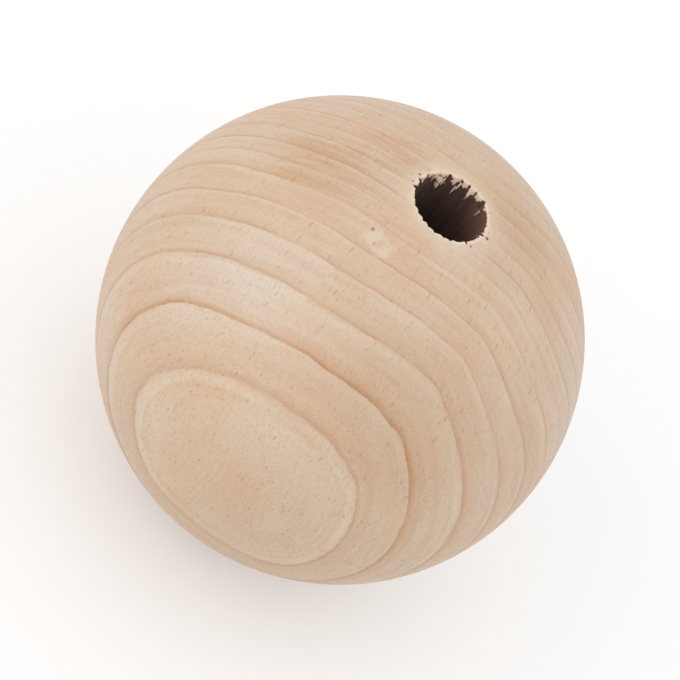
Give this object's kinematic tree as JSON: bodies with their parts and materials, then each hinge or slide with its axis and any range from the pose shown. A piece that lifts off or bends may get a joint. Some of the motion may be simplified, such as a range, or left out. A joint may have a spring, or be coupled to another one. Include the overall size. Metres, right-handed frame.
{
  "type": "drilled wooden ball",
  "caption": "Turned beech ball with a straight through bore along the grain, countersunk at one mouth and torn at the other.",
  "frame": {"origin": "centre of the ball, on the bore's axis and midway between its mouths", "axes": "+Z along the bore, towards the torn mouth where the drill came out; -Y towards the middle of the flat-sawn figure"},
  "size_m": [0.05, 0.05, 0.0491],
  "materials": {
    "wood": "fine sanded bare beech"
  },
  "bodies": {
    "root": {"ball": "wood"}
  },
  "joints": []
}
